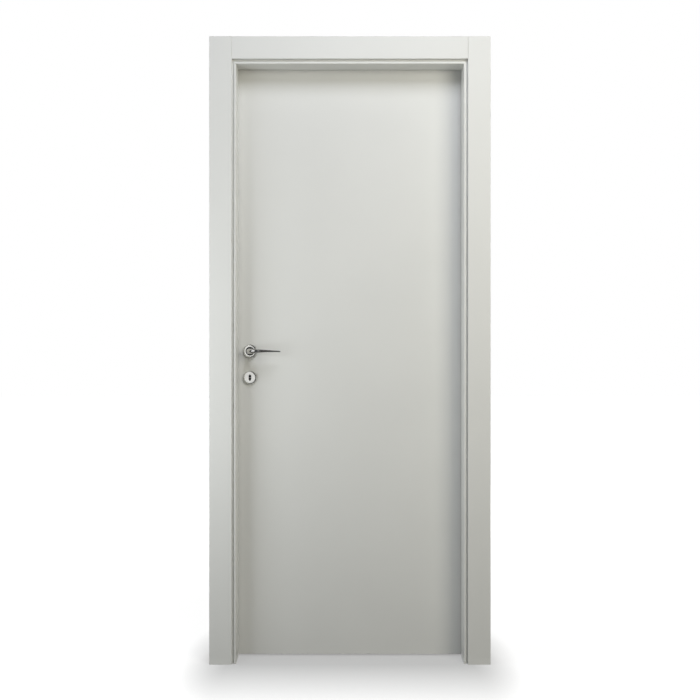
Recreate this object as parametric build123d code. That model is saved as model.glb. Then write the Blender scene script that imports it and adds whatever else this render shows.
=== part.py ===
"""Flush interior door set: a lipped hollow-core leaf in a wrap-round timber frame with flat casings.

The frame's legs share one section frame: u runs from the reveal face into the wall, v runs from mid
wall to the rear. The origin is at the foot of the hinge jamb's wall-side face, at mid wall, with +X
towards the wall beyond the hinges, +Y to the rear, where the leaf opens, and +Z up. Millimetres.
"""

from build123d import *
from math import cos, radians, sin
import os

# Clear passage between the reveal faces, and the wall that the frame wraps
passage_width = 760.0
passage_height = 2000.0
wall_thickness = 100.0

# Leaf: two skins on a timber rim, with a lip that laps the rear edge of the frame
leaf_thickness = 42.0
skin_thickness = 4.0
lip_thickness = 11.0
lip_overlap = 14.0
lip_edge_radius = 3.0
front_edge_radius = 1.0
stile_width = 40.0
bottom_rail_height = 60.0
lock_block_width = 55.0
lock_block_height = 320.0

# Gaps between the closed leaf and the frame
leaf_edge_gap = 7.0
leaf_face_gap = 5.0
lip_face_gap = 5.0
lip_side_gap = 9.0
floor_gap = 6.0

# Jamb section
rebate_width = 17.0
nose_width = 7.0
nose_height = 5.0
nose_radius = 2.5
stop_corner_radius = 1.0
slot_wall = 3.75

# Casings: flat boards, each with a tongue that slides into a slot in the jamb
casing_thickness = 11.0
front_casing_width = 75.0
rear_casing_width = 70.0
side_groove_width = 6.0
head_groove_width = 8.0
casing_edge_radius = 1.5
tongue_thickness = 5.0
tongue_length = 22.0
tongue_clearance = 0.25
slot_bottom_gap = 6.0
casing_joint_gap = 0.3
relief_margin = 12.0
relief_depth = 1.5

# Bulb seal in a kerf in the stop
kerf_setback = 4.0
kerf_width = 3.0
kerf_depth = 8.0
seal_stem_clearance = 0.2
seal_stem_end_gap = 0.5
seal_foot_width = 4.0
seal_foot_thickness = 0.8
seal_bore_radius = 1.3
seal_leaf_clearance = 0.3

# Lock and its plates
backset = 50.0
handle_height = 1041.0
lock_centres = 90.0
case_thickness = 14.0
case_depth = 75.0
case_height = 165.0
case_wall = 1.5
case_corner_radius = 4.0
case_clearance = 0.5
plate_width = 18.0
plate_height = 196.0
faceplate_thickness = 3.0
strike_height = 180.0
strike_thickness = 2.0
plate_clearance = 0.1
bolt_height = 30.0
bolt_thickness = 11.0
bolt_window_clearance = 0.3
latch_projection = 12.0
latch_inner_length = 24.0
latch_nose_thickness = 3.0
dead_bolt_length = 38.0
dead_bolt_rise = 12.0
strike_window_margin = 1.5
strike_pocket_depth = 9.0

# Lever handles on one square spindle, with round roses
spindle_width = 8.0
spindle_clearance = 0.05
spindle_reach = 26.0
follower_radius = 11.0
follower_clearance = 0.1
rose_radius = 23.0
rose_height = 9.0
rose_edge_radius = 5.0
rose_ring_radius = 14.0
rose_ring_chamfer = 0.8
rose_recess_height = 4.5
neck_radius = 11.0
neck_clearance = 0.08
neck_foot_height = 1.0
neck_collar_height = 12.0
neck_rise = 30.0
neck_stem_radius = 9.5
elbow_radius = 16.0
elbow_steps = 4
lever_length = 107.0
cross_bore_clearance = 1.0

# Lever arm: ovals, given as half height and half depth, that taper from the elbow to a bevelled tip
arm_root_oval = (8.2, 8.6)
arm_bevel_oval = (2.9, 4.8)
arm_tip_oval = (1.6, 3.1)
arm_bevel_length = 3.0
arm_root_lift = 0.8
arm_arch_rise = 0.7
arm_taper_bend = 0.35
arm_steps = 9

# Key plates and the hub that the key turns
key_slot_width = 9.0
key_slot_height = 21.0
key_hub_radius = 6.5
key_hub_clearance = 0.1
key_hub_lip = 0.5
key_pin_radius = 2.5
key_pin_rise = 6.0
key_bore_radius = 14.0

# Barrel hinges, each a frame knuckle with its pin and a leaf knuckle that drops on it
low_hinge_height = 230.0
top_hinge_drop = 210.0
barrel_radius = 7.0
barrel_height = 28.0
barrel_gap = 1.0
barrel_end_chamfer = 1.5
knuckle_gap = 0.3
hinge_pin_radius = 4.0
hinge_pin_height = 22.0
hinge_pin_clearance = 0.05
stem_radius = 3.0
stem_clearance = 0.1
frame_stem_depth = 22.0
leaf_stem_length = 40.0
leaf_stem_slope = 36.0

# Depths, measured from mid wall to the rear
wall_front = -wall_thickness / 2
wall_rear = wall_thickness / 2
leaf_rear = wall_rear + casing_thickness
leaf_front = leaf_rear - leaf_thickness
lip_front = leaf_rear - lip_thickness
stop_face = leaf_front - leaf_face_gap
jamb_rear = lip_front - lip_face_gap
lock_line = (leaf_front + lip_front) / 2

# Distances from the reveal face into the wall
leaf_edge = rebate_width - leaf_edge_gap
lip_edge = leaf_edge + lip_overlap
rear_casing_edge = lip_edge + lip_side_gap
side_casing_edge = nose_width + side_groove_width
head_casing_edge = nose_width + head_groove_width
jamb_thickness = rear_casing_edge + tongue_thickness + tongue_clearance + slot_wall

# Places in the part's own frame
hinge_reveal_x = -jamb_thickness
lock_reveal_x = hinge_reveal_x - passage_width
leaf_lock_x = lock_reveal_x - leaf_edge
leaf_hinge_x = hinge_reveal_x + leaf_edge
lip_lock_x = lock_reveal_x - lip_edge
lip_hinge_x = hinge_reveal_x + lip_edge
leaf_top = passage_height + leaf_edge
lip_top = passage_height + lip_edge
spindle_x = leaf_lock_x + backset
key_height = handle_height - lock_centres
lock_middle = (handle_height + key_height) / 2
dead_bolt_height = key_height + dead_bolt_rise
top_hinge_height = passage_height - top_hinge_drop
hinge_heights = {
    "low": low_hinge_height,
    "middle": (low_hinge_height + top_hinge_height) / 2,
    "top": top_hinge_height,
}
hinge_axis_x = (lip_hinge_x + hinge_reveal_x + rear_casing_edge) / 2
hinge_axis_y = leaf_rear + barrel_gap + barrel_radius

leg_planes = {
    "lock": Plane(origin=(lock_reveal_x, 0, 0), x_dir=(-1, 0, 0), z_dir=(0, 0, -1)),
    "hinge": Plane(origin=(hinge_reveal_x, 0, 0), x_dir=(1, 0, 0), z_dir=(0, 0, 1)),
    "head": Plane(origin=(0, 0, passage_height), x_dir=(0, 0, 1), z_dir=(-1, 0, 0)),
}
mitre_planes = {
    "lock": Plane(origin=(lock_reveal_x, 0, passage_height), z_dir=(-1, 0, -1)),
    "hinge": Plane(origin=(hinge_reveal_x, 0, passage_height), z_dir=(1, 0, -1)),
}


def save(name, shape):
    """Write one piece to its own file."""
    export_step(shape, f"parts/{name}.step")


def block(x_ends, y_ends, z_ends):
    """A box between two places on each axis."""
    sizes = [abs(ends[1] - ends[0]) for ends in (x_ends, y_ends, z_ends)]
    middles = [(ends[0] + ends[1]) / 2 for ends in (x_ends, y_ends, z_ends)]
    return Pos(*middles) * Box(*sizes)


def patch(u_ends, v_ends):
    """A rectangle between two places on each axis of a section."""
    middle = ((u_ends[0] + u_ends[1]) / 2, (v_ends[0] + v_ends[1]) / 2)
    return Pos(*middle) * Rectangle(abs(u_ends[1] - u_ends[0]), abs(v_ends[1] - v_ends[0]))


def round_corners(section, radius, *places):
    """Round the corners of a section that lie nearest to the places given."""
    corners = [section.vertices().sort_by_distance((*place, 0))[0] for place in places]
    return fillet(corners, radius)


def run(section, leg, low, high):
    """Run a section along one leg of the frame, between two places on the part's own axis."""
    plane = leg_planes[leg]
    start = low if leg == "hinge" else -high
    return extrude(plane.offset(start) * section, amount=high - low, dir=plane.z_dir)


def mitred_leg(section, leg, foot, reach):
    """Run a section along a leg as far as the mitres at the frame's corners."""
    if leg == "head":
        piece = run(section, leg, lock_reveal_x - reach, hinge_reveal_x + reach)
        for corner in mitre_planes.values():
            piece = split(piece, bisect_by=corner, keep=Keep.BOTTOM)
        return piece
    piece = run(section, leg, foot, passage_height + reach)
    return split(piece, bisect_by=mitre_planes[leg], keep=Keep.TOP)


def rod(start, direction, radius, length):
    """A round bar from a point along a direction."""
    return Plane(origin=start, z_dir=direction) * Cylinder(
        radius, length, align=(Align.CENTER, Align.CENTER, Align.MIN)
    )


def cross_bore(radius, height, y_ends):
    """A round bar through the leaf on the line of the spindle."""
    return rod((spindle_x, y_ends[0], height), (0, 1, 0), radius, y_ends[1] - y_ends[0])


def jamb_section(groove_width):
    """Nose, groove, reveal, stop and rebate of a jamb, with the slots for both casings."""
    casing_edge = nose_width + groove_width
    step = rear_casing_edge + tongue_thickness / 2
    section = Polygon(
        (0, wall_front - nose_height),
        (nose_width, wall_front - nose_height),
        (nose_width, wall_front),
        (jamb_thickness, wall_front),
        (jamb_thickness, wall_rear),
        (step, wall_rear),
        (step, jamb_rear),
        (rebate_width, jamb_rear),
        (rebate_width, stop_face),
        (0, stop_face),
        align=None,
    )
    nose_corners = [(0, wall_front - nose_height), (nose_width, wall_front - nose_height)]
    section = round_corners(section, nose_radius, *nose_corners)
    section = round_corners(section, stop_corner_radius, (0, stop_face))
    slot_depth = tongue_length + slot_bottom_gap
    slot_width = tongue_thickness + 2 * tongue_clearance
    for edge, face, inward in ((casing_edge, wall_front, 1), (rear_casing_edge, wall_rear, -1)):
        slot_start = edge - tongue_clearance
        section -= patch((slot_start, slot_start + slot_width), (face, face + inward * slot_depth))
    kerf = (kerf_setback, kerf_setback + kerf_width)
    return section - patch(kerf, (stop_face - kerf_depth, stop_face))


def hinge_stem_bores():
    """Bores for every hinge stem, in the jamb and in the leaf."""
    bores = []
    for height in hinge_heights.values():
        bores.append(frame_stem(height, stem_clearance))
        bores.append(leaf_stem(height, stem_clearance))
    return bores


def make_jambs():
    """The two side jambs and the head of the frame, mitred at the corners."""
    for leg in ("lock", "hinge", "head"):
        groove_width = head_groove_width if leg == "head" else side_groove_width
        jamb = mitred_leg(jamb_section(groove_width), leg, 0, jamb_thickness)
        if leg == "hinge":
            jamb -= hinge_stem_bores()
        if leg == "lock":
            jamb -= strike_mortise()
        save(f"{leg}_jamb", jamb)


def casing_board_section(edge, width, way):
    """The flat board of a casing, hollowed a little at the back. The way is -1 in front."""
    back = way * wall_thickness / 2
    face = back + way * casing_thickness
    board = patch((edge, edge + width), (back, face))
    board = round_corners(board, casing_edge_radius, (edge, face), (edge + width, face))
    relief = (edge + relief_margin, edge + width - relief_margin)
    return board - patch(relief, (back, back + way * relief_depth))


def tongue_section(edge, way):
    """The tongue glued to the back of a casing along its inner edge."""
    back = way * wall_thickness / 2
    return patch((edge, edge + tongue_thickness), (back - way * tongue_length, back))


def make_casings(face, way, side_edge, head_edge, width):
    """Casings of one side: the side boards run full height and the head board butts between."""
    board = casing_board_section(side_edge, width, way)
    tongue_top = passage_height + side_edge - 2 * tongue_clearance
    for leg in ("lock", "hinge"):
        save(f"{face}_{leg}_casing", run(board, leg, 0, passage_height + head_edge + width))
        save(f"{face}_{leg}_tongue", run(tongue_section(side_edge, way), leg, 0, tongue_top))
    low = lock_reveal_x - side_edge + casing_joint_gap
    high = hinge_reveal_x + side_edge - casing_joint_gap
    save(f"{face}_head_casing", run(casing_board_section(head_edge, width, way), "head", low, high))
    save(f"{face}_head_tongue", run(tongue_section(head_edge, way), "head", low, high))


def seal_section():
    """A hollow bulb on a foot, with a stem that is pressed into the kerf."""
    middle = kerf_setback + kerf_width / 2
    bulb_radius = (leaf_face_gap - seal_leaf_clearance) / 2
    bulb = Pos(middle, stop_face + bulb_radius) * (Circle(bulb_radius) - Circle(seal_bore_radius))
    foot = patch(
        (middle - seal_foot_width / 2, middle + seal_foot_width / 2),
        (stop_face, stop_face + seal_foot_thickness),
    )
    half_stem = kerf_width / 2 - seal_stem_clearance
    stem = patch(
        (middle - half_stem, middle + half_stem),
        (stop_face - kerf_depth + seal_stem_end_gap, stop_face + seal_foot_thickness),
    )
    return bulb + foot + stem


def make_seals():
    """The seal round three sides of the stop, mitred at the corners."""
    for leg in ("lock", "hinge", "head"):
        save(f"{leg}_seal", mitred_leg(seal_section(), leg, 0, jamb_thickness))


def rim_section():
    """Stile or top rail of the leaf, with the lip that laps the frame."""
    inner = leaf_edge - stile_width
    front = leaf_front + skin_thickness
    rear = leaf_rear - skin_thickness
    return Polygon(
        (inner, front),
        (leaf_edge, front),
        (leaf_edge, lip_front),
        (lip_edge, lip_front),
        (lip_edge, rear),
        (inner, rear),
        align=None,
    )


def lock_cut():
    """The room for the lock case, its faceplate and the bores that cross them."""
    case = block(
        (leaf_lock_x, leaf_lock_x + faceplate_thickness + case_depth + case_clearance),
        (lock_line - case_thickness / 2 - case_clearance, lock_line + case_thickness / 2 + case_clearance),
        (lock_middle - case_height / 2 - case_clearance, lock_middle + case_height / 2 + case_clearance),
    )
    recess = edge_plate(leaf_lock_x, faceplate_thickness, plate_height, plate_clearance)
    return [case, recess, *fitting_bores((leaf_front, leaf_rear))]


def fitting_bores(y_ends):
    """The round bores under the roses and under the key plates."""
    spindle_bore = cross_bore(neck_radius + cross_bore_clearance, handle_height, y_ends)
    key_bore = cross_bore(key_bore_radius, key_height, y_ends)
    return [spindle_bore, key_bore]


def make_leaf():
    """Skins, rim and lock block of the leaf. The core between them stays empty."""
    rim = {leg: mitred_leg(rim_section(), leg, floor_gap, lip_edge) for leg in leg_planes}
    rear_depth = (leaf_rear - skin_thickness, leaf_rear)
    front_depth = (leaf_front, leaf_front + skin_thickness)
    core_depth = (front_depth[1], rear_depth[0])
    rim["lock"] -= lock_cut()
    rim["hinge"] -= hinge_stem_bores()
    save("leaf_lock_stile", rim["lock"])
    save("leaf_hinge_stile", rim["hinge"])
    save("leaf_top_rail", rim["head"])
    inner_ends = (leaf_lock_x + stile_width, leaf_hinge_x - stile_width)
    bottom_rail = block(inner_ends, core_depth, (floor_gap, floor_gap + bottom_rail_height))
    save("leaf_bottom_rail", bottom_rail)
    lock_block = block(
        (inner_ends[0], inner_ends[0] + lock_block_width),
        core_depth,
        (lock_middle - lock_block_height / 2, lock_middle + lock_block_height / 2),
    )
    save("leaf_lock_block", lock_block - lock_cut())
    front_skin = block((leaf_lock_x, leaf_hinge_x), front_depth, (floor_gap, leaf_top))
    front_face = front_skin.faces().sort_by(Axis.Y)[0]
    front_skin = fillet(front_face.edges(), front_edge_radius)
    save("leaf_front_skin", front_skin - fitting_bores(front_depth))
    rear_skin = block((lip_lock_x, lip_hinge_x), rear_depth, (floor_gap, lip_top))
    rear_face = rear_skin.faces().sort_by(Axis.Y)[-1]
    rear_skin = fillet(rear_face.edges(), lip_edge_radius)
    rear_skin -= fitting_bores(rear_depth)
    save("leaf_rear_skin", rear_skin - hinge_stem_bores())


def edge_plate(outer_x, thickness, height, clearance=0.0):
    """A flat plate with round ends on a narrow edge, from its outer face towards +X."""
    outline = SlotOverall(height + 2 * clearance, plate_width + 2 * clearance)
    plane = Plane(origin=(outer_x, lock_line, lock_middle), x_dir=(0, 0, 1), z_dir=(1, 0, 0))
    return extrude(plane * outline, amount=thickness, dir=(1, 0, 0))


def bolt_windows(x_ends, margin):
    """Room for both bolts, with a margin all round."""
    half_thickness = bolt_thickness / 2 + margin
    half_height = bolt_height / 2 + margin
    return [
        block(
            x_ends,
            (lock_line - half_thickness, lock_line + half_thickness),
            (height - half_height, height + half_height),
        )
        for height in (handle_height, dead_bolt_height)
    ]


def strike_mortise():
    """Recess for the strike plate in the lock jamb, with pockets behind its windows."""
    rebate_x = lock_reveal_x - rebate_width
    plate_back = rebate_x - strike_thickness
    recess = edge_plate(plate_back, strike_thickness, strike_height, plate_clearance)
    pockets = bolt_windows((plate_back - strike_pocket_depth, plate_back), strike_window_margin)
    return [recess, *pockets]


def latch_bolt():
    """The spring latch, bevelled in front so that the closing leaf pushes it in."""
    rear = lock_line + bolt_thickness / 2
    front = lock_line - bolt_thickness / 2
    tip_x = leaf_lock_x - latch_projection
    inner_x = leaf_lock_x + faceplate_thickness + latch_inner_length
    outline = Polygon(
        (inner_x, front),
        (leaf_lock_x, front),
        (tip_x, rear - latch_nose_thickness),
        (tip_x, rear),
        (inner_x, rear),
        align=None,
    )
    low = handle_height - bolt_height / 2
    return extrude(Plane.XY.offset(low) * outline, amount=bolt_height, dir=(0, 0, 1))


def make_lock():
    """Lock case, faceplate, bolts, follower, key hub and strike plate."""
    case_x = (leaf_lock_x + faceplate_thickness, leaf_lock_x + faceplate_thickness + case_depth)
    case_y = (lock_line - case_thickness / 2, lock_line + case_thickness / 2)
    case_z = (lock_middle - case_height / 2, lock_middle + case_height / 2)
    case = block(case_x, case_y, case_z)
    case = fillet(case.edges().filter_by(Axis.Y), case_corner_radius)
    case -= block(
        (case_x[0], case_x[1] - case_wall),
        (case_y[0] + case_wall, case_y[1] - case_wall),
        (case_z[0] + case_wall, case_z[1] - case_wall),
    )
    case -= cross_bore(follower_radius + follower_clearance, handle_height, case_y)
    case -= cross_bore(key_hub_radius + key_hub_clearance, key_height, case_y)
    save("lock_case", case)

    faceplate = edge_plate(leaf_lock_x, faceplate_thickness, plate_height)
    faceplate_x = (leaf_lock_x, leaf_lock_x + faceplate_thickness)
    save("lock_faceplate", faceplate - bolt_windows(faceplate_x, bolt_window_clearance))

    dead_bolt = block(
        (leaf_lock_x, leaf_lock_x + dead_bolt_length),
        (lock_line - bolt_thickness / 2, lock_line + bolt_thickness / 2),
        (dead_bolt_height - bolt_height / 2, dead_bolt_height + bolt_height / 2),
    )
    save("dead_bolt", dead_bolt)
    save("latch_bolt", latch_bolt())

    follower = cross_bore(follower_radius, handle_height, case_y)
    save("lock_follower", follower - spindle_bar(spindle_clearance))

    hub = cross_bore(key_hub_radius, key_height, (case_y[0] - key_hub_lip, case_y[1] + key_hub_lip))
    hub += cross_bore(key_pin_radius, key_height, (leaf_front - key_pin_rise, leaf_rear + key_pin_rise))
    save("key_hub", hub)

    strike_x = lock_reveal_x - rebate_width - strike_thickness
    strike = edge_plate(strike_x, strike_thickness, strike_height)
    strike_ends = (strike_x, strike_x + strike_thickness)
    save("strike_plate", strike - bolt_windows(strike_ends, strike_window_margin))


def spindle_bar(clearance=0.0):
    """The square bar through the lock that joins both levers."""
    half = spindle_width / 2 + clearance
    return block(
        (spindle_x - half, spindle_x + half),
        (leaf_front - spindle_reach - clearance, leaf_rear + spindle_reach + clearance),
        (handle_height - half, handle_height + half),
    )


def on_face(fitting, face, height):
    """Set a fitting that stands up along +Y on the front or the rear face of the leaf."""
    if face == "front":
        return Pos(spindle_x, leaf_front, height) * mirror(fitting, Plane.XZ)
    return Pos(spindle_x, leaf_rear, height) * fitting


def rose():
    """Round rose with a raised ring round the lever's neck."""
    bore_radius = neck_radius + neck_clearance
    section = Polygon(
        (bore_radius, 0),
        (rose_radius, 0),
        (rose_radius, rose_height),
        (rose_ring_radius, rose_height),
        (rose_ring_radius, rose_recess_height),
        (bore_radius, rose_recess_height),
        align=None,
    )
    section = round_corners(section, rose_edge_radius, (rose_radius, rose_height))
    ring_corner = section.vertices().sort_by_distance((rose_ring_radius, rose_height, 0))[0]
    section = chamfer(ring_corner, rose_ring_chamfer)
    return revolve(section, Axis.Y)


def key_plate():
    """Round plate with an upright key slot."""
    section = patch((0, rose_radius), (0, rose_height))
    section = round_corners(section, rose_edge_radius, (rose_radius, rose_height))
    slot_plane = Plane(origin=(0, 0, 0), x_dir=(0, 0, 1), z_dir=(0, 1, 0))
    slot = slot_plane * SlotOverall(key_slot_height, key_slot_width)
    return revolve(section, Axis.Y) - extrude(slot, amount=rose_height, dir=(0, 1, 0))


def blend(start, end, share):
    """A value part of the way from one to another."""
    return start + (end - start) * share


def oval(origin, ahead, half_sizes):
    """An oval across the lever, at a point and square to a direction."""
    return Plane(origin=origin, x_dir=(0, 0, 1), z_dir=ahead) * Ellipse(*half_sizes)


def elbow_oval(step):
    """One oval on the way round the elbow, from the round neck towards the arm's root."""
    share = step / elbow_steps
    angle = radians(90.0 * share)
    origin = (
        elbow_radius * (1 - cos(angle)),
        neck_rise + elbow_radius * sin(angle),
        arm_root_lift * share**2,
    )
    ease = share**2 * (3 - 2 * share)
    half_sizes = [blend(neck_stem_radius, root, ease) for root in arm_root_oval]
    return oval(origin, (sin(angle), cos(angle), 0), half_sizes)


def arm_oval(step):
    """One oval along the arm, whose height tapers quickly at first and whose middle line arches."""
    share = step / arm_steps
    origin = (
        blend(elbow_radius, lever_length - arm_bevel_length, share),
        neck_rise + elbow_radius,
        arm_root_lift * (1 - share) + arm_arch_rise * 4 * share * (1 - share),
    )
    taper = share + arm_taper_bend * share * (1 - share)
    half_height = blend(arm_root_oval[0], arm_bevel_oval[0], taper)
    half_depth = blend(arm_root_oval[1], arm_bevel_oval[1], share)
    return oval(origin, (1, 0, 0), (half_height, half_depth))


def lever():
    """Lever: a round neck on a collar, an elbow, and a flat arm that tapers to a bevelled tip."""
    rises = (neck_foot_height, neck_collar_height, neck_rise)
    collar = rod((0, rises[0], 0), (0, 1, 0), neck_radius, rises[1] - rises[0])
    neck = rod((0, rises[1], 0), (0, 1, 0), neck_stem_radius, rises[2] - rises[1])
    ovals = [elbow_oval(step) for step in range(elbow_steps)]
    ovals += [arm_oval(step) for step in range(arm_steps + 1)]
    tip = oval((lever_length, neck_rise + elbow_radius, 0), (1, 0, 0), arm_tip_oval)
    bevel = loft([ovals[-1], tip], ruled=True)
    return collar + neck + loft(ovals) + bevel


def make_handles():
    """Roses, key plates, levers and their spindle."""
    for face in ("front", "rear"):
        save(f"{face}_rose", on_face(rose(), face, handle_height))
        save(f"{face}_key_plate", on_face(key_plate(), face, key_height))
        save(f"{face}_lever", on_face(lever(), face, handle_height) - spindle_bar(spindle_clearance))
    save("handle_spindle", spindle_bar())


def frame_stem(height, clearance=0.0):
    """The stem of a frame knuckle, straight from its barrel into the jamb's rear edge."""
    length = hinge_axis_y - jamb_rear + frame_stem_depth + clearance
    start = (hinge_axis_x, hinge_axis_y, height - barrel_height / 2)
    return rod(start, (0, -1, 0), stem_radius + clearance, length)


def leaf_stem(height, clearance=0.0):
    """The stem of a leaf knuckle, sloping from its barrel through the lip into the stile."""
    start = (hinge_axis_x, hinge_axis_y, height + knuckle_gap + barrel_height / 2)
    slope = radians(leaf_stem_slope)
    direction = (-cos(slope), -sin(slope), 0)
    return rod(start, direction, stem_radius + clearance, leaf_stem_length + clearance)


def barrel(foot, end):
    """One barrel of a hinge, chamfered at its free end, which is its top or its bottom."""
    body = rod((hinge_axis_x, hinge_axis_y, foot), (0, 0, 1), barrel_radius, barrel_height)
    edge = body.edges().sort_by(Axis.Z)[-1 if end == "top" else 0]
    return chamfer(edge, barrel_end_chamfer)


def make_hinges():
    """Three barrel hinges, each in two knuckles."""
    for place, height in hinge_heights.items():
        pin = rod((hinge_axis_x, hinge_axis_y, height), (0, 0, 1), hinge_pin_radius, hinge_pin_height)
        frame_knuckle = barrel(height - barrel_height, "bottom") + frame_stem(height) + pin
        save(f"frame_knuckle_{place}", frame_knuckle)
        bore = rod(
            (hinge_axis_x, hinge_axis_y, height),
            (0, 0, 1),
            hinge_pin_radius + hinge_pin_clearance,
            hinge_pin_height + knuckle_gap,
        )
        leaf_knuckle = barrel(height + knuckle_gap, "top") + leaf_stem(height) - bore
        save(f"leaf_knuckle_{place}", leaf_knuckle)


os.makedirs("parts", exist_ok=True)
make_jambs()
make_casings("front", -1, side_casing_edge, head_casing_edge, front_casing_width)
make_casings("rear", 1, rear_casing_edge, rear_casing_edge, rear_casing_width)
make_seals()
make_leaf()
make_lock()
make_handles()
make_hinges()
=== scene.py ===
"""Looks of a flush interior door set: lacquered frame and leaf, hinges, mortise lock and lever handles."""

from math import hypot, radians

import bpy
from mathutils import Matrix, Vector


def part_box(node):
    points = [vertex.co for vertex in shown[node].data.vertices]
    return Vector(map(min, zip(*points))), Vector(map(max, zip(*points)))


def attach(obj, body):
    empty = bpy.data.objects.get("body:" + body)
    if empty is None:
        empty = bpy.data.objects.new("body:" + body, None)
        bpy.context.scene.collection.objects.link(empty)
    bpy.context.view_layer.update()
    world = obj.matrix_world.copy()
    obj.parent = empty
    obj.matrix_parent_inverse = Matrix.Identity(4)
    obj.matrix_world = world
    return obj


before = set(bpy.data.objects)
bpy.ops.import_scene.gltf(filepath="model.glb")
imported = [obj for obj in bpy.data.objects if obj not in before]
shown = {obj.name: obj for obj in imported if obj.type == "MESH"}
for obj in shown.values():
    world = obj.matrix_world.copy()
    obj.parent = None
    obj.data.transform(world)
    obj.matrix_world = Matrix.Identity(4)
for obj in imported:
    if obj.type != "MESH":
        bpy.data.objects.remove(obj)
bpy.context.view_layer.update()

# Jambs: two sides and a head, mitred together, each with nose, groove, reveal, stop and rebate.
# They are timber faced with a sprayed satin lacquer. The faces against the wall, the slots for the
# casings and the feet are left bare.
off_white = (0.752, 0.752, 0.716)
pine_light = (0.62, 0.47, 0.30)
pine_dark = (0.46, 0.31, 0.17)
pattern_ends = (0.3, 0.7)
into_wall = {
    "lock": Vector((-1.0, 0.0, 0.0)),
    "hinge": Vector((1.0, 0.0, 0.0)),
    "head": Vector((0.0, 0.0, 1.0)),
}
wall_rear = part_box("rear_hinge_casing")[0].y
leaf_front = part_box("leaf_front_skin")[0].y
closing_gap = 0.005
stop_face = leaf_front - closing_gap
lap_face = wall_rear - closing_gap
# Tests on faces: how near a plane counts as on it, a margin for rounding, and how much of a normal
# has to lie along an axis.
touch = 0.0005
hair = 0.0001
squarely = 0.9


def new_material(name, colour, roughness, metallic=0.0):
    """A new material, its shader and the piece's own coordinates."""
    material = bpy.data.materials.new(name)
    material.use_nodes = True
    shader = material.node_tree.nodes["Principled BSDF"]
    shader.inputs["Base Color"].default_value = (*colour, 1.0)
    shader.inputs["Roughness"].default_value = roughness
    shader.inputs["Metallic"].default_value = metallic
    place = material.node_tree.nodes.new("ShaderNodeTexCoord").outputs["Object"]
    return material, shader, place


def scaled(place, factors, offset=(0.0, 0.0, 0.0)):
    """The coordinates stretched along each axis, for grain and brushing."""
    mapping = place.node.id_data.nodes.new("ShaderNodeMapping")
    mapping.inputs["Scale"].default_value = factors
    mapping.inputs["Location"].default_value = offset
    place.node.id_data.links.new(place, mapping.inputs["Vector"])
    return mapping.outputs["Vector"]


def lined(place, along, across, lengthwise):
    """The coordinates stretched so that a pattern runs out into lines along one axis."""
    return scaled(place, [lengthwise if axis == along else across for axis in "XYZ"])


def cloud(place, scale, detail=2.0, rough=0.5):
    """Soft random patches, from 0 to 1 and mostly between the pattern's ends."""
    noise = place.node.id_data.nodes.new("ShaderNodeTexNoise")
    noise.inputs["Scale"].default_value = scale
    noise.inputs["Detail"].default_value = detail
    noise.inputs["Roughness"].default_value = rough
    place.node.id_data.links.new(place, noise.inputs["Vector"])
    return noise.outputs["Fac"]


def blend_colours(shader, pattern, low, high, ends=pattern_ends):
    """Let the colour run between two others over a pattern."""
    tree = shader.id_data
    ramp = tree.nodes.new("ShaderNodeValToRGB")
    for stop, position, colour in zip(ramp.color_ramp.elements, ends, (low, high)):
        stop.position = position
        stop.color = (*colour, 1.0)
    tree.links.new(pattern, ramp.inputs["Fac"])
    tree.links.new(ramp.outputs["Color"], shader.inputs["Base Color"])


def shade(colour, factor):
    """A colour made darker or lighter."""
    return tuple(channel * factor for channel in colour)


def tint(shader, pattern, colour, low, high):
    """Let a colour drift a little darker and lighter over a pattern."""
    blend_colours(shader, pattern, shade(colour, low), shade(colour, high))


def polish(shader, pattern, low, high):
    """Let the roughness drift between two values over a pattern."""
    tree = shader.id_data
    spread = tree.nodes.new("ShaderNodeMapRange")
    spread.inputs["From Min"].default_value = pattern_ends[0]
    spread.inputs["From Max"].default_value = pattern_ends[1]
    spread.inputs["To Min"].default_value = low
    spread.inputs["To Max"].default_value = high
    tree.links.new(pattern, spread.inputs["Value"])
    tree.links.new(spread.outputs["Result"], shader.inputs["Roughness"])


def relief(shader, pattern, depth, strength, under=None):
    """Raise the surface a little over a pattern, on top of another relief if there is one."""
    tree = shader.id_data
    bump = tree.nodes.new("ShaderNodeBump")
    bump.inputs["Distance"].default_value = depth
    bump.inputs["Strength"].default_value = strength
    tree.links.new(pattern, bump.inputs["Height"])
    if under is not None:
        tree.links.new(under, bump.inputs["Normal"])
    tree.links.new(bump.outputs["Normal"], shader.inputs["Normal"])
    return bump.outputs["Normal"]


def satin_lacquer():
    """Sprayed off-white lacquer with a fine orange peel and a barely uneven sheen."""
    material, shader, place = new_material("satin_lacquer", off_white, roughness=0.38)
    tint(shader, cloud(place, scale=3.1, detail=3.0), off_white, low=0.985, high=1.012)
    polish(shader, cloud(place, scale=9.0, detail=4.0), low=0.34, high=0.43)
    waves = relief(shader, cloud(place, scale=26.0, detail=1.0), depth=0.00006, strength=0.5)
    relief(shader, cloud(place, scale=1100.0, detail=1.0), depth=0.00002, strength=0.6, under=waves)
    return material


def bare_pine(name, along):
    """Sawn timber with its grain along one axis."""
    material, shader, place = new_material(name, pine_light, roughness=0.72)
    grain = cloud(lined(place, along, across=34.0, lengthwise=1.3), scale=1.0, detail=6.0, rough=0.62)
    blend_colours(shader, grain, pine_dark, pine_light, ends=(0.36, 0.62))
    fibres = cloud(lined(place, along, across=900.0, lengthwise=22.0), scale=1.0)
    relief(shader, fibres, depth=0.00012, strength=0.7)
    return material


lacquer = satin_lacquer()
upright_pine = bare_pine("bare_pine_upright", "Z")
level_pine = bare_pine("bare_pine_level", "X")


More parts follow.
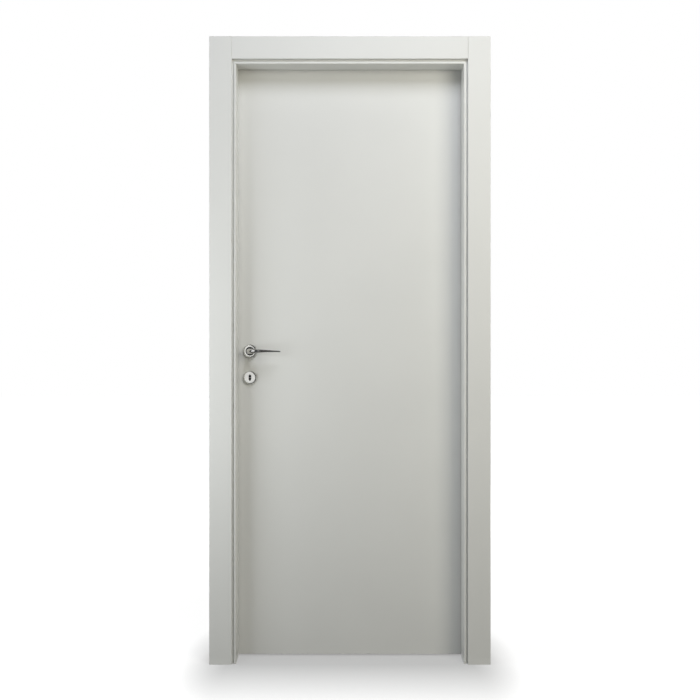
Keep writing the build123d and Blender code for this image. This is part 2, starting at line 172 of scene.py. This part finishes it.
def dress(node, materials, choose=None):
    """Give a node its materials, and each face the one that is chosen by its middle and normal."""
    mesh = shown[node].data
    mesh.materials.clear()
    for material in materials:
        mesh.materials.append(material)
    for face in mesh.polygons:
        face.material_index = choose(face.center, face.normal) if choose else 0


def reach(node, way):
    """How far along a way a node begins and ends."""
    return sorted(corner.dot(way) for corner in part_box(node))


def is_foot(middle, normal, height=0.0):
    """Whether a face is the underside of a piece that ends at a height."""
    return middle.z < height + touch and normal.z < -squarely


def choose_jamb(leg):
    """Lacquer where a jamb shows, bare timber behind the casings, in their slots and at its foot."""
    way = into_wall[leg]
    casing_start = reach(f"front_{leg}_casing", way)[0] + hair
    slot_middle = sum(reach(f"rear_{leg}_tongue", way)) / 2

    def choose(middle, normal):
        depth = middle.dot(way)
        in_rebate = stop_face - touch < middle.y < lap_face + hair and depth < slot_middle
        hidden = depth > casing_start and not in_rebate
        return 1 if hidden or is_foot(middle, normal) else 0
    return choose


for leg, pine in (("lock", upright_pine), ("hinge", upright_pine), ("head", level_pine)):
    dress(f"{leg}_jamb", [lacquer, pine], choose_jamb(leg))

# Casings: flat boards of fibreboard on both sides of the wall, lacquered on the face and edges and
# bare at the back, which is planed a little hollow. The side boards run full height, and the head
# board between them has bare sawn ends.
board_pale = (0.50, 0.37, 0.23)
board_dark = (0.36, 0.25, 0.14)
hollow_depth = 0.0015


def bare_fibreboard():
    """Sawn and sanded fibreboard, an even brown with fine dark fibres."""
    material, shader, place = new_material("bare_fibreboard", board_pale, roughness=0.85)
    fibres = cloud(place, scale=800.0, detail=3.0, rough=0.6)
    blend_colours(shader, fibres, board_dark, board_pale, ends=(0.34, 0.66))
    relief(shader, cloud(place, scale=1500.0), depth=0.00008, strength=0.6)
    return material


fibreboard = bare_fibreboard()


def choose_casing(side, ends_sawn):
    """Lacquer on a casing's face and edges, bare board at its back, its foot and its sawn ends."""
    def choose(middle, normal):
        at_back = middle.y * side < wall_rear + hollow_depth + hair
        at_end = ends_sawn and abs(normal.x) > squarely
        return 1 if at_back or at_end or is_foot(middle, normal) else 0
    return choose


sides = {"front": -1, "rear": 1}
for leg in into_wall:
    for face, side in sides.items():
        dress(f"{face}_{leg}_casing", [lacquer, fibreboard], choose_casing(side, leg == "head"))

# Tongues: strips of fibreboard glued behind the inner edge of each casing. They slide into the
# slots of the jambs and let the casings follow the thickness of the wall. The side that shows in
# the gap round the leaf is lacquered with the casing's edge.


def choose_tongue(leg):
    """Lacquer on the side towards the leaf, bare board elsewhere."""
    def choose(middle, normal):
        return 1 if normal.dot(into_wall[leg]) < -squarely else 0
    return choose


for leg in into_wall:
    for face in sides:
        dress(f"{face}_{leg}_tongue", [fibreboard, lacquer], choose_tongue(leg))

# Seals: soft hollow bulbs pressed into a kerf in the stop, round three sides of the frame.
# The rubber is extruded, so it is matt with fine lines along its length.
seal_grey = (0.30, 0.29, 0.27)


def soft_rubber(name, along):
    """Extruded matt rubber with faint lines along one axis."""
    material, shader, place = new_material(name, seal_grey, roughness=0.78)
    tint(shader, cloud(place, scale=60.0, detail=3.0), seal_grey, low=0.9, high=1.08)
    lines = cloud(lined(place, along, across=2500.0, lengthwise=30.0), scale=1.0, detail=1.0)
    relief(shader, lines, depth=0.00004, strength=0.6)
    return material


upright_rubber = soft_rubber("seal_rubber_upright", "Z")
dress("lock_seal", [upright_rubber])
dress("hinge_seal", [upright_rubber])
dress("head_seal", [soft_rubber("seal_rubber_level", "X")])

# Hinges: three barrels of two knuckles each, screwed by their stems into the jamb and the leaf.
# They are turned steel with a satin nickel plating, brushed round the barrel.
nickel = (0.62, 0.61, 0.58)
turned_lines = (60.0, 60.0, 4200.0)


def brushed_metal(name, colour, factors, low, high):
    """Plated metal with fine brushing lines, long on the axes whose factors are small."""
    material, shader, place = new_material(name, colour, roughness=(low + high) / 2, metallic=1.0)
    lines = cloud(scaled(place, factors), scale=1.0, detail=3.0, rough=0.6)
    tint(shader, lines, colour, low=0.94, high=1.04)
    polish(shader, lines, low, high)
    relief(shader, lines, depth=0.00001, strength=0.5)
    return material


turned_nickel = brushed_metal("turned_nickel", nickel, turned_lines, low=0.24, high=0.38)
for hinge in ("low", "middle", "top"):
    for body in ("frame", "leaf"):
        dress(f"{body}_knuckle_{hinge}", [turned_nickel])

# Strike plate: a flat plate with round ends let into the lock jamb, with a window for each bolt.
# It is satin nickel, brushed along its length, and held by two oval-head screws with cross recesses.
drawn_lines = (3600.0, 3600.0, 25.0)
screw_grain = (900.0, 900.0, 900.0)
screw_brightness = 1.03
screw_size = {
    "head_radius": 0.0036,
    "head_rise": 0.0008,
    "recess_length": 0.0042,
    "recess_width": 0.0009,
}
screw_margin = 0.009
screws_in_a_plate = 2
head_segments = 40
head_rings = 20
turned_to_plus_x = (0.0, radians(90.0), 0.0)
drawn_nickel = brushed_metal("drawn_nickel", nickel, drawn_lines, low=0.26, high=0.40)
dress("strike_plate", [drawn_nickel])
screw_steel = brushed_metal("screw_steel", shade(nickel, screw_brightness), screw_grain, low=0.22, high=0.34)


def new_node(tree, kind, **values):
    """A new node in a tree, with some of its input values set by name."""
    node = tree.nodes.new(kind)
    for name, value in values.items():
        node.inputs[name.replace("_", " ")].default_value = value
    return node


def screw_tree():
    """A row of oval-head screws with cross recesses, a given step apart, facing along +Z or turned."""
    tree = bpy.data.node_groups.new("plate_screws", "GeometryNodeTree")
    sockets = (
        ("Head Radius", "NodeSocketFloat"), ("Head Rise", "NodeSocketFloat"),
        ("Recess Length", "NodeSocketFloat"), ("Recess Width", "NodeSocketFloat"),
        ("First Place", "NodeSocketVector"), ("Step", "NodeSocketVector"),
        ("Turn", "NodeSocketRotation"), ("Metal", "NodeSocketMaterial"),
    )
    for name, kind in sockets:
        tree.interface.new_socket(name, in_out="INPUT", socket_type=kind)
    tree.interface.new_socket("Geometry", in_out="OUTPUT", socket_type="NodeSocketGeometry")
    given = tree.nodes.new("NodeGroupInput").outputs
    link = tree.links.new

    dome = new_node(
        tree, "GeometryNodeMeshUVSphere",
        Segments=head_segments, Rings=head_rings, Radius=1.0,
    )
    dome_size = tree.nodes.new("ShaderNodeCombineXYZ")
    for axis, source in (("X", "Head Radius"), ("Y", "Head Radius"), ("Z", "Head Rise")):
        link(given[source], dome_size.inputs[axis])
    head = tree.nodes.new("GeometryNodeTransform")
    link(dome.outputs["Mesh"], head.inputs["Geometry"])
    link(dome_size.outputs["Vector"], head.inputs["Scale"])

    cutter = tree.nodes.new("GeometryNodeJoinGeometry")
    for long_axis, short_axis in (("X", "Y"), ("Y", "X")):
        size = tree.nodes.new("ShaderNodeCombineXYZ")
        link(given["Recess Length"], size.inputs[long_axis])
        link(given["Recess Width"], size.inputs[short_axis])
        link(given["Head Rise"], size.inputs["Z"])
        bar = tree.nodes.new("GeometryNodeMeshCube")
        link(size.outputs["Vector"], bar.inputs["Size"])
        link(bar.outputs["Mesh"], cutter.inputs["Geometry"])
    lift = tree.nodes.new("ShaderNodeCombineXYZ")
    link(given["Head Rise"], lift.inputs["Z"])
    raised = tree.nodes.new("GeometryNodeTransform")
    link(cutter.outputs["Geometry"], raised.inputs["Geometry"])
    link(lift.outputs["Vector"], raised.inputs["Translation"])
    cut = tree.nodes.new("GeometryNodeMeshBoolean")
    cut.operation = "DIFFERENCE"
    cut.solver = "EXACT"
    cut.inputs["Self Intersection"].default_value = True
    link(head.outputs["Geometry"], cut.inputs["Mesh 1"])
    link(raised.outputs["Geometry"], cut.inputs["Mesh 2"])

    places = new_node(tree, "GeometryNodeMeshLine", Count=screws_in_a_plate)
    link(given["First Place"], places.inputs["Start Location"])
    link(given["Step"], places.inputs["Offset"])
    screws = tree.nodes.new("GeometryNodeInstanceOnPoints")
    link(places.outputs["Mesh"], screws.inputs["Points"])
    link(cut.outputs["Mesh"], screws.inputs["Instance"])
    link(given["Turn"], screws.inputs["Rotation"])
    solid = tree.nodes.new("GeometryNodeRealizeInstances")
    link(screws.outputs["Instances"], solid.inputs["Geometry"])
    coated = tree.nodes.new("GeometryNodeSetMaterial")
    link(solid.outputs["Geometry"], coated.inputs["Geometry"])
    link(given["Metal"], coated.inputs["Material"])
    link(coated.outputs["Geometry"], tree.nodes.new("NodeGroupOutput").inputs["Geometry"])
    return tree


def grown(name, tree, **values):
    """The plain mesh that a tree makes from its named inputs, as a new piece."""
    mesh = bpy.data.meshes.new(name)
    piece = bpy.data.objects.new(name, mesh)
    bpy.context.scene.collection.objects.link(piece)
    modifier = piece.modifiers.new("making", "NODES")
    modifier.node_group = tree
    for socket in tree.interface.items_tree:
        if socket.in_out == "INPUT":
            modifier[socket.identifier] = values[socket.name.replace(" ", "_").lower()]
    view = bpy.context.evaluated_depsgraph_get()
    made = bpy.data.meshes.new_from_object(piece.evaluated_get(view))
    piece.modifiers.clear()
    piece.data = made
    made.name = name
    return piece


def plate_screw_places(plate, outer_x):
    """Where the lower screw of an upright plate sits, and the step to the upper one."""
    low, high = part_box(plate)
    lowest = (outer_x, (low.y + high.y) / 2, low.z + screw_margin)
    return {"first_place": lowest, "step": (0.0, 0.0, high.z - low.z - 2 * screw_margin)}


plate_screws = screw_tree()
strike_outer_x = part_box("strike_plate")[1].x
strike_screws = grown(
    "strike_screws", plate_screws, **screw_size,
    **plate_screw_places("strike_plate", strike_outer_x),
    turn=turned_to_plus_x, metal=screw_steel,
)
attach(strike_screws, "frame")

# Leaf rim: stiles and rails of pine between the skins, with a lip that laps the rear of the frame.
# The outer edges are lacquered with the leaf; the inner sides and the feet stay bare.
leaf_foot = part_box("leaf_front_skin")[0].z


def choose_rim(leg):
    """Lacquer on the outer edges of a stile or the top rail, bare timber inside and at the foot."""
    way = into_wall[leg]
    edge = reach("leaf_front_skin", way)[1]

    def choose(middle, normal):
        at_edge = middle.dot(way) > edge - touch
        return 0 if at_edge and not is_foot(middle, normal, leaf_foot) else 1
    return choose


dress("leaf_lock_stile", [lacquer, upright_pine], choose_rim("lock"))
dress("leaf_hinge_stile", [lacquer, upright_pine], choose_rim("hinge"))
dress("leaf_top_rail", [lacquer, level_pine], choose_rim("head"))
dress("leaf_bottom_rail", [level_pine])
dress("leaf_lock_block", [upright_pine])

# Leaf skins: thin boards pressed on both sides of the rim, smooth and lacquered on the outside.
# The rear skin carries the rounded edge of the lip.


def choose_skin(side):
    """Lacquer outside and on the edges, bare board inside and at the foot."""
    def choose(middle, normal):
        inside = normal.y * side < -squarely
        return 1 if inside or is_foot(middle, normal, leaf_foot) else 0
    return choose


for face, side in sides.items():
    dress(f"leaf_{face}_skin", [lacquer, fibreboard], choose_skin(side))

# Mortise lock: a pressed and zinc-plated steel case in the edge of the leaf. It holds the follower
# that the spindle turns, the blackened hub that the key turns round a pin, a bevelled latch and a
# square dead bolt. The hub's black is partly painted shade, for the dark deep in the keyhole.
zinc = (0.50, 0.51, 0.51)
oxide_and_shade_black = (0.035, 0.034, 0.033)
key_pin_reach = 0.0026


def zinc_plating():
    """Dull zinc with a cloudy bloom."""
    material, shader, place = new_material("zinc_plating", zinc, roughness=0.42, metallic=1.0)
    bloom = cloud(place, scale=160.0, detail=4.0, rough=0.6)
    tint(shader, bloom, zinc, low=0.86, high=1.08)
    polish(shader, bloom, low=0.34, high=0.52)
    relief(shader, cloud(place, scale=2200.0, detail=1.0), depth=0.00001, strength=0.6)
    return material


def black_oxide():
    """Steel blackened in a hot bath, nearly matt, and dark also as painted shade in the keyhole."""
    material, shader, place = new_material("black_oxide", oxide_and_shade_black, roughness=0.55, metallic=0.4)
    polish(shader, cloud(place, scale=300.0, detail=3.0), low=0.48, high=0.64)
    relief(shader, cloud(place, scale=1800.0, detail=1.0), depth=0.00001, strength=0.6)
    return material


zinc_steel = zinc_plating()
shade_blackened_steel = black_oxide()


def cross_axis(node):
    """Where the axis of a round piece runs through the leaf."""
    low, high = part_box(node)
    return (low + high) / 2


def from_axis(middle, axis):
    """How far a point lies from an axis through the leaf."""
    return hypot(middle.x - axis.x, middle.z - axis.z)


spindle_axis = cross_axis("front_rose")
key_axis = cross_axis("front_key_plate")


def choose_key_hub(middle, normal):
    """Zinc on the pin that guides the key, black steel on the hub round it, which paints the keyhole's
    shade.
    """
    return 0 if from_axis(middle, key_axis) < key_pin_reach else 1


dress("lock_case", [zinc_steel])
dress("lock_follower", [zinc_steel])
dress("key_hub", [zinc_steel, shade_blackened_steel], choose_key_hub)
dress("latch_bolt", [drawn_nickel])
dress("dead_bolt", [drawn_nickel])

# Faceplate: a flat plate with round ends let into the edge of the leaf, over the lock case.
# It is satin nickel, brushed along its length, and held by two screws like the strike plate's.
turned_to_minus_x = (0.0, radians(-90.0), 0.0)
dress("lock_faceplate", [drawn_nickel])
faceplate_outer_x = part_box("lock_faceplate")[0].x
faceplate_screws = grown(
    "faceplate_screws", plate_screws, **screw_size,
    **plate_screw_places("lock_faceplate", faceplate_outer_x),
    turn=turned_to_minus_x, metal=screw_steel,
)
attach(faceplate_screws, "leaf")

# Roses and key plates: round turned covers over the bores, each with a rolled edge. They are satin
# chrome, brushed in circles about their middles, with a black nylon bearing in the rose and a
# black nylon lining in the key slot. Their black is also painted shade, in the recess round the
# neck and on the walls of the slot.
satin_chrome_colour = (0.82, 0.82, 0.785)
nylon_and_shade_black = (0.030, 0.029, 0.027)
bearing_radius = 0.0136
slot_reach = 0.0115
edgeways = 0.1
flat_to_leaf = (1.0, 0.0, 1.0)
ring_fineness = 3800.0


def vector_step(source, operation, output="Vector", other=(0.0, 0.0, 0.0)):
    """One step of vector arithmetic on a socket."""
    tree = source.node.id_data
    node = tree.nodes.new("ShaderNodeVectorMath")
    node.operation = operation
    node.inputs[1].default_value = other
    tree.links.new(source, node.inputs[0])
    return node.outputs[output]


def circled_chrome(name, axis):
    """Satin chrome whose brushing runs in circles about an axis through the leaf."""
    material, shader, place = new_material(name, satin_chrome_colour, roughness=0.3, metallic=1.0)
    tree = material.node_tree
    centred = scaled(place, flat_to_leaf, offset=(-axis.x, 0.0, -axis.z))
    rings = tree.nodes.new("ShaderNodeTexNoise")
    rings.noise_dimensions = "1D"
    rings.inputs["Scale"].default_value = ring_fineness
    rings.inputs["Detail"].default_value = 2.0
    tree.links.new(vector_step(centred, "LENGTH", output="Value"), rings.inputs["W"])
    tint(shader, rings.outputs["Fac"], satin_chrome_colour, low=0.96, high=1.03)
    polish(shader, cloud(place, scale=70.0, detail=3.0), low=0.17, high=0.25)
    relief(shader, rings.outputs["Fac"], depth=0.000006, strength=0.5)
    return material


def black_nylon():
    """Moulded nylon of the bearing in a rose and of the lining of a key slot, black also as painted shade.
    """
    material, shader, place = new_material("black_nylon", nylon_and_shade_black, roughness=0.5)
    polish(shader, cloud(place, scale=240.0), low=0.44, high=0.58)
    relief(shader, cloud(place, scale=2600.0, detail=1.0), depth=0.00002, strength=0.6)
    return material


def choose_rose(middle, normal):
    """Nylon at the foot of the recess round the neck, dark also as painted shade there, chrome elsewhere."""
    return 1 if from_axis(middle, spindle_axis) < bearing_radius else 0


def choose_key_plate(middle, normal):
    """Nylon on the walls of the key slot, dark also as painted shade there, chrome elsewhere."""
    return 1 if abs(normal.y) < edgeways and from_axis(middle, key_axis) < slot_reach else 0


rose_chrome = circled_chrome("rose_chrome", spindle_axis)
key_plate_chrome = circled_chrome("key_plate_chrome", key_axis)
# The nylon's black is partly painted shade, in the rose's recess, in the key slot and round the neck.
nylon = black_nylon()
for face in sides:
    dress(f"{face}_rose", [rose_chrome, nylon], choose_rose)
    dress(f"{face}_key_plate", [key_plate_chrome, nylon], choose_key_plate)

# Levers: cast and polished handles on both faces, on the ends of one square steel spindle. The
# chrome is bright, with the slight haze that hands and cloths leave on it, and the collar that
# turns in the rose is black nylon, whose black also paints the shade round the neck.
chrome_colour = (0.78, 0.78, 0.78)
leaf_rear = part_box("leaf_rear_skin")[1].y
collar_height = 0.012


def polished_chrome():
    """Mirror chrome with a faint uneven haze."""
    material, shader, place = new_material("polished_chrome", chrome_colour, roughness=0.07, metallic=1.0)
    haze = cloud(place, scale=110.0, detail=4.0, rough=0.6)
    polish(shader, haze, low=0.045, high=0.11)
    tint(shader, haze, chrome_colour, low=0.97, high=1.01)
    return material


def choose_lever(middle, normal):
    """Nylon on the collar that turns in the rose, dark also as painted shade round the neck, chrome
    elsewhere.
    """
    height = max(leaf_front - middle.y, middle.y - leaf_rear)
    return 1 if height < collar_height + hair else 0


chrome = polished_chrome()
for face in sides:
    dress(f"{face}_lever", [chrome, nylon], choose_lever)
dress("handle_spindle", [zinc_steel])

# Floor: a plain pale studio floor that keeps the door's shadow and runs into a white background.
# Its glow is weakest under the door and grows over the stops, given as distance and strength, so
# that a painted shadow lies round the door's foot.
floor_reach = 12.0
floor_grey = (0.22, 0.22, 0.215)
pure_white = (1.0, 1.0, 1.0, 1.0)
# The glow is dimmed over a box round the door's foot and fades faster to the sides: a painted shadow.
painted_shadow_core = (0.81, 0.06, 0.0)
painted_shadow_squeeze = 2.0
glow_and_painted_shadow_stops = ((0.0, 0.36), (0.32, 0.85), (0.8, 0.85), (2.2, 1.0))
glow_reach = glow_and_painted_shadow_stops[-1][0]
door_middle_x = (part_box("rear_lock_casing")[0].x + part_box("rear_hinge_casing")[1].x) / 2


def level_panel(half_width, half_depth, height):
    """The corners of a level rectangle about the origin, in order round its edge."""
    return [
        (-half_width, -half_depth, height), (half_width, -half_depth, height),
        (half_width, half_depth, height), (-half_width, half_depth, height),
    ]


def studio_piece(name, panels):
    """A piece of the studio, made of flat rectangles."""
    corners = [corner for panel in panels for corner in panel]
    step = len(panels[0])
    faces = [range(start, start + step) for start in range(0, len(corners), step)]
    mesh = bpy.data.meshes.new(name)
    mesh.from_pydata(corners, [], faces)
    piece = bpy.data.objects.new(name, mesh)
    bpy.context.scene.collection.objects.link(piece)
    return piece


def number_step(first, operation, second):
    """One step of arithmetic on a socket and a number or another socket."""
    tree = first.node.id_data
    node = tree.nodes.new("ShaderNodeMath")
    node.operation = operation
    tree.links.new(first, node.inputs[0])
    if isinstance(second, float):
        node.inputs[1].default_value = second
    else:
        tree.links.new(second, node.inputs[1])
    return node.outputs["Value"]


def camera_and_gloss(tree):
    """1 for rays from the camera, from gloss and through glass, 0 for the rest."""
    path = tree.nodes.new("ShaderNodeLightPath").outputs
    total = path["Is Camera Ray"]
    for name in ("Is Glossy Ray", "Is Transmission Ray"):
        total = number_step(total, "MAXIMUM", path[name])
    return total


def glowing(name, colour, roughness):
    """A material without gloss, ready for a white glow, and its shader and coordinates."""
    material, shader, place = new_material(name, colour, roughness)
    shader.inputs["Specular IOR Level"].default_value = 0.0
    shader.inputs["Emission Color"].default_value = pure_white
    return material, shader, place


def pale_floor():
    """Pale floor whose own glow, for the camera and gloss alone, joins it to the background and paints a
    shadow round the door.
    """
    material, shader, place = glowing("pale_floor", floor_grey, roughness=0.9)
    tree = material.node_tree
    centred = scaled(place, (painted_shadow_squeeze, 1.0, 0.0), offset=(-painted_shadow_squeeze * door_middle_x, 0.0, 0.0))
    beyond = vector_step(vector_step(centred, "ABSOLUTE"), "SUBTRACT", other=painted_shadow_core)
    how_far = vector_step(vector_step(beyond, "MAXIMUM"), "LENGTH", output="Value")
    rise = tree.nodes.new("ShaderNodeValToRGB")
    stops = rise.color_ramp.elements
    stops.remove(stops[1])
    for distance, strength in glow_and_painted_shadow_stops:
        stop = stops[0] if distance == 0.0 else stops.new(distance / glow_reach)
        stop.color = (strength, strength, strength, 1.0)
    tree.links.new(number_step(how_far, "DIVIDE", glow_reach), rise.inputs["Fac"])
    glow = number_step(rise.outputs["Color"], "MULTIPLY", camera_and_gloss(tree))
    tree.links.new(glow, shader.inputs["Emission Strength"])
    return material


floor = studio_piece("floor", [level_panel(floor_reach, floor_reach, 0.0)])
floor.data.materials.append(pale_floor())

# Dark studio: near-black cards that only gloss sees, over, under, in front of and behind the door,
# and along the front half of both sides. A tall window is left open at the left in front and
# behind. They give the bright lever its dark body and its one highlight.
room_half_width = 3.5
room_half_depth = 3.4
room_ends = (0.02, 5.4)
window_edges = (-3.10, -0.90)
window_head = 5.2
side_card_end = 0.0
card_colour = (0.0, 0.0, 0.0)
card_glow = 0.07


def upright_card(x_ends, y_ends, z_ends):
    """The corners of an upright rectangle, in order round its edge."""
    low, high = z_ends
    return [
        (x_ends[0], y_ends[0], low), (x_ends[1], y_ends[1], low),
        (x_ends[1], y_ends[1], high), (x_ends[0], y_ends[0], high),
    ]


cards = [level_panel(room_half_width, room_half_depth, height) for height in room_ends]
for side in sides.values():
    wall_y = (side * room_half_depth, side * room_half_depth)
    wall_x = (side * room_half_width, side * room_half_width)
    cards.append(upright_card((-room_half_width, window_edges[0]), wall_y, room_ends))
    cards.append(upright_card(window_edges, wall_y, (window_head, room_ends[1])))
    cards.append(upright_card((window_edges[1], room_half_width), wall_y, room_ends))
    cards.append(upright_card(wall_x, (-room_half_depth, side_card_end), room_ends))
dark_studio = studio_piece("dark_studio", cards)
card_black, card_shader = glowing("card_black", card_colour, roughness=1.0)[:2]
card_shader.inputs["Emission Strength"].default_value = card_glow
dark_studio.data.materials.append(card_black)
for ray in ("camera", "diffuse", "transmission", "volume_scatter", "shadow"):
    setattr(dark_studio, f"visible_{ray}", False)

# World and lamps: white behind everything and a weak even light from all round. A small lamp and
# a grazing one stand at the left, a broad warm one at the right, one above the front and a large
# one behind. Each has its place, its width in metres, its power in watts and its tone.
ambient_strength = 0.055
aim_height = 1.05
white_tone = (1.0, 1.0, 1.0)
cool_tone = (0.92, 0.96, 1.0)
sky_tone = (0.88, 0.91, 1.0)
warm_tone = (1.0, 0.97, 0.87)
lamps = (
    ("left_lamp", (-1.59, -0.81, 0.94), 0.81, 8.6, cool_tone),
    ("side_lamp", (-3.20, -0.40, 2.10), 0.60, 17.0, cool_tone),
    ("right_lamp", (1.21, -1.94, 1.83), 1.43, 34.5, warm_tone),
    ("high_lamp", (-0.16, -1.41, 3.09), 0.87, 24.0, sky_tone),
    ("rear_lamp", (-0.42, 3.2, 1.6), 2.0, 90.0, white_tone),
)
world = bpy.data.worlds.new("studio")
bpy.context.scene.world = world
world.use_nodes = True
sky = world.node_tree
ambient = sky.nodes["Background"]
ambient.inputs["Color"].default_value = pure_white
ambient.inputs["Strength"].default_value = ambient_strength
backdrop = sky.nodes.new("ShaderNodeBackground")
backdrop.inputs["Color"].default_value = pure_white
backdrop.inputs["Strength"].default_value = 1.0
either = sky.nodes.new("ShaderNodeMixShader")
sky.links.new(camera_and_gloss(sky), either.inputs["Fac"])
sky.links.new(ambient.outputs["Background"], either.inputs[1])
sky.links.new(backdrop.outputs["Background"], either.inputs[2])
sky.links.new(either.outputs["Shader"], sky.nodes["World Output"].inputs["Surface"])


def hang_lamp(name, place, width, watts, tone):
    """A square soft lamp that points at the door, and that neither the camera nor gloss shows."""
    light = bpy.data.lights.new(name, "AREA")
    light.shape = "SQUARE"
    light.size = width
    light.energy = watts
    light.color = tone
    holder = bpy.data.objects.new(name, light)
    bpy.context.scene.collection.objects.link(holder)
    aim = Vector((door_middle_x, 0.0, aim_height)) - Vector(place)
    holder.location = place
    holder.rotation_euler = aim.to_track_quat("-Z", "Y").to_euler()
    holder.visible_camera = False
    holder.visible_glossy = False


for name, place, width, watts, tone in lamps:
    hang_lamp(name, place, width, watts, tone)

# Camera: level, a little left of the door's middle and at chest height, with its view shifted to
# the photograph's framing.
camera_place = (-0.440, -2.961, 1.1046)
camera_turn = (radians(90.0), 0.0, 0.0)
lens_length = 44.86
sensor_width = 36.0
view_shift = (0.0079, -0.025)
eye = bpy.data.cameras.new("camera")
eye.lens = lens_length
eye.sensor_width = sensor_width
eye.shift_x, eye.shift_y = view_shift
camera = bpy.data.objects.new("camera", eye)
bpy.context.scene.collection.objects.link(camera)
camera.location = camera_place
camera.rotation_euler = camera_turn
bpy.context.scene.camera = camera
bpy.context.scene.view_settings.view_transform = "Standard"
